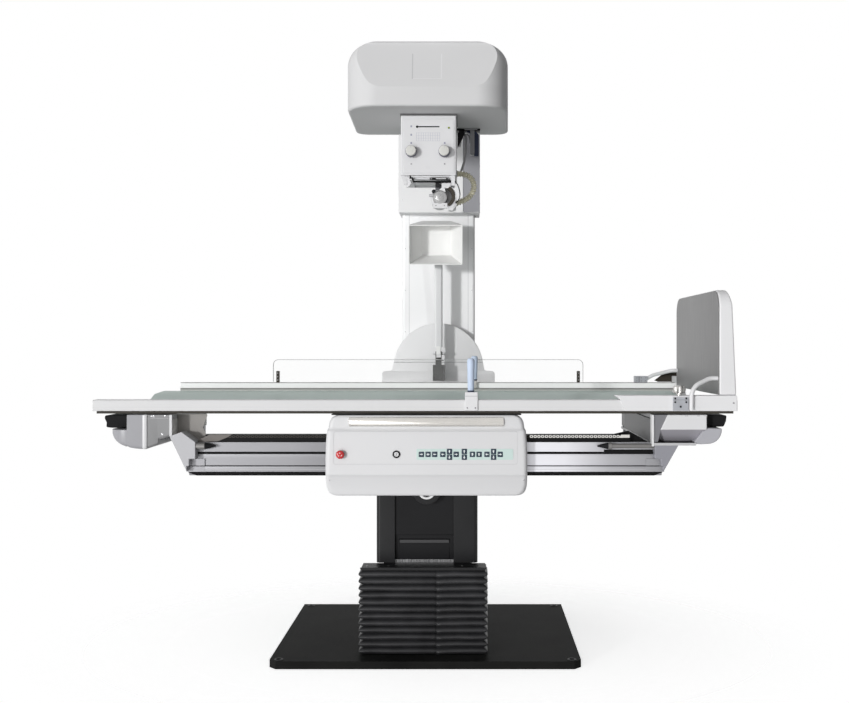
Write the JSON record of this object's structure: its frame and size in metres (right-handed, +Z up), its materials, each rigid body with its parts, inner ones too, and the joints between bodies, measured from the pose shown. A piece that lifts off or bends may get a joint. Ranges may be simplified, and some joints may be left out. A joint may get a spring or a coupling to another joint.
{
  "type": "radiography table",
  "caption": "Tilting radiography table with height-compensating pedestal, floating top, footrest, hand grips and an overhead tube with collimator on an angling column.",
  "frame": {"origin": "on the floor under the centre of the four anchor holes of the floor plate", "axes": "+X towards the foot end, +Y away from the operator's side, +Z up"},
  "size_m": [2.151, 1.2073, 2.33],
  "materials": {
    "black_steel": "satin black powder coat",
    "machined_steel": "ground",
    "bellows_fabric": "coated fabric, semi gloss",
    "drive_grey": "painted casting",
    "cover_white": "fine textured moulding",
    "frame_white": "white powder coat",
    "rail_white": "white coated extrusion",
    "beam_aluminium": "anodised, brushed",
    "rack_black": "black",
    "bumper_rubber": "matte",
    "steel": "brushed",
    "collar_dark": "matte",
    "stop_red": "gloss",
    "key_chrome": "polished",
    "foil_green": "printed foil",
    "pad_slate": "printed foil",
    "top_laminate": "pale grey-green laminate",
    "clear_acrylic": "clear",
    "grip_blue": "soft touch",
    "lead_grey": "grey paint",
    "knob_grey": "ribbed moulding",
    "conduit_beige": "corrugated"
  },
  "bodies": {
    "base": {"floor_plate": "black_steel", "mast": "machined_steel", "lift_screw": "machined_steel"},
    "sleeve": {"lift_sleeve": "machined_steel"},
    "upright": {"upright_tube": "machined_steel", "upright_shell": "black_steel", "upright_front_panels": "black_steel", "trunnion_bearings": "machined_steel", "tilt_gearmotor": "drive_grey", "bellows": "bellows_fabric", "bellows_top_frame": "black_steel"},
    "tilt_carriage": {"carriage_plates": "black_steel", "trunnions": "machined_steel", "receptor_housing": "frame_white", "beam_guides": "black_steel", "front_cover": "cover_white", "cover_brackets": "black_steel", "hand_rail": "steel", "control_foil": "foil_green", "control_pads": "pad_slate", "switch_collars": "collar_dark", "column_bracket": "frame_white", "pivot_cover": "cover_white", "compressor_block": "collar_dark"},
    "table_frame": {"side_beams": "beam_aluminium", "beam_arms": "frame_white", "end_frames": "frame_white", "slide_rails": "machined_steel", "end_covers": "cover_white", "end_bumpers": "bumper_rubber", "rack_tray": "rack_black", "buffer_rods": "steel", "buffer_tips": "bumper_rubber"},
    "table_top": {"table_panel": "top_laminate", "front_rail": "rail_white", "rear_rail": "rail_white", "table_crossbars": "beam_aluminium", "side_screen": "clear_acrylic", "screen_clamps": "steel"},
    "front_hand_grip": {"front_grip": "grip_blue", "front_grip_clamp": "frame_white"},
    "rear_hand_grip": {"rear_grip": "grip_blue", "rear_grip_clamp": "steel"},
    "footrest": {"footrest_casing": "frame_white", "foot_plate": "steel", "footrest_frame": "frame_white", "footrest_tubes": "frame_white", "footrest_clamps": "steel"},
    "footrest_knob": {"clamp_knob": "steel"},
    "column": {"column_shell": "frame_white"},
    "tube_carriage": {"sid_carriage": "frame_white"},
    "tube_head": {"head_cover": "cover_white", "tube_housing": "lead_grey"},
    "collimator": {"collimator_box": "frame_white", "conduit": "conduit_beige"},
    "knob_left": {"left_knob": "knob_grey"},
    "knob_right": {"right_knob": "knob_grey"},
    "compression_arm": {"compressor": "frame_white"},
    "stop_button": {"stop_button": "stop_red"},
    "key_switch": {"key_rotor": "key_chrome"}
  },
  "joints": [
    {"name": "sleeve_lift", "type": "slide", "parent": "base", "child": "sleeve", "axis": [0, 0, 1], "range_m": [-0.0585, 0.2605]},
    {"name": "height_lift", "type": "slide", "parent": "base", "child": "upright", "axis": [0, 0, 1], "range_m": [-0.117, 0.521], "deforming": ["bellows"]},
    {"name": "table_tilt", "type": "hinge", "parent": "upright", "child": "tilt_carriage", "pos_m": [0, 0, 0.575], "axis": [0, 1, 0], "range_deg": [-20, 90]},
    {"name": "table_travel", "type": "slide", "parent": "tilt_carriage", "child": "table_frame", "axis": [-1, 0, 0], "range_m": [-0.35, 0.23]},
    {"name": "table_float", "type": "slide", "parent": "table_frame", "child": "table_top", "axis": [0, 1, 0], "range_m": [-0.12, 0.06]},
    {"name": "front_grip_slide", "type": "slide", "parent": "table_top", "child": "front_hand_grip", "axis": [-1, 0, 0], "range_m": [-0.45, 0.9]},
    {"name": "rear_grip_slide", "type": "slide", "parent": "table_top", "child": "rear_hand_grip", "axis": [-1, 0, 0], "range_m": [-0.3, 0.8]},
    {"name": "footrest_slide", "type": "slide", "parent": "table_top", "child": "footrest", "axis": [-1, 0, 0], "range_m": [0, 0.17]},
    {"name": "footrest_knob_turn", "type": "hinge", "parent": "footrest", "child": "footrest_knob", "pos_m": [0.8505, -0.364, 0.93], "axis": [0, 0, 1], "range_deg": [0, 270]},
    {"name": "column_angle", "type": "hinge", "parent": "tilt_carriage", "child": "column", "pos_m": [0.016, 0.64, 0.983], "axis": [0, 1, 0], "range_deg": [-40, 40]},
    {"name": "focus_distance", "type": "slide", "parent": "column", "child": "tube_carriage", "axis": [0, 0, 1], "range_m": [-0.05, 0.25]},
    {"name": "tube_turn", "type": "hinge", "parent": "tube_carriage", "child": "tube_head", "pos_m": [0.004, 0, 2.005], "axis": [0, 1, 0], "range_deg": [-90, 90]},
    {"name": "collimator_turn", "type": "hinge", "parent": "tube_head", "child": "collimator", "pos_m": [0.004, -0.078, 1.8], "axis": [0, 0, 1], "range_deg": [-45, 45]},
    {"name": "left_knob_turn", "type": "hinge", "parent": "collimator", "child": "knob_left", "pos_m": [-0.057, -0.176, 1.764], "axis": [0, -1, 0], "range_deg": [-150, 150]},
    {"name": "right_knob_turn", "type": "hinge", "parent": "collimator", "child": "knob_right", "pos_m": [0.06, -0.176, 1.764], "axis": [0, -1, 0], "range_deg": [-150, 150]},
    {"name": "compressor_swing", "type": "hinge", "parent": "tilt_carriage", "child": "compression_arm", "pos_m": [0.019, 0.535, 1.048], "axis": [1, 0, 0], "range_deg": [0, 90]},
    {"name": "stop_press", "type": "slide", "parent": "tilt_carriage", "child": "stop_button", "axis": [0, 1, 0], "range_m": [0, 0.004], "stiffness_N_per_m": 900},
    {"name": "key_turn", "type": "hinge", "parent": "tilt_carriage", "child": "key_switch", "pos_m": [-0.094, -0.4, 0.719], "axis": [0, 1, 0], "range_deg": [0, 90]}
  ],
  "couplings": [
    {"joint": "sleeve_lift", "follows": "table_tilt", "m_per_rad": 0.1655},
    {"joint": "height_lift", "follows": "table_tilt", "m_per_rad": 0.331}
  ]
}
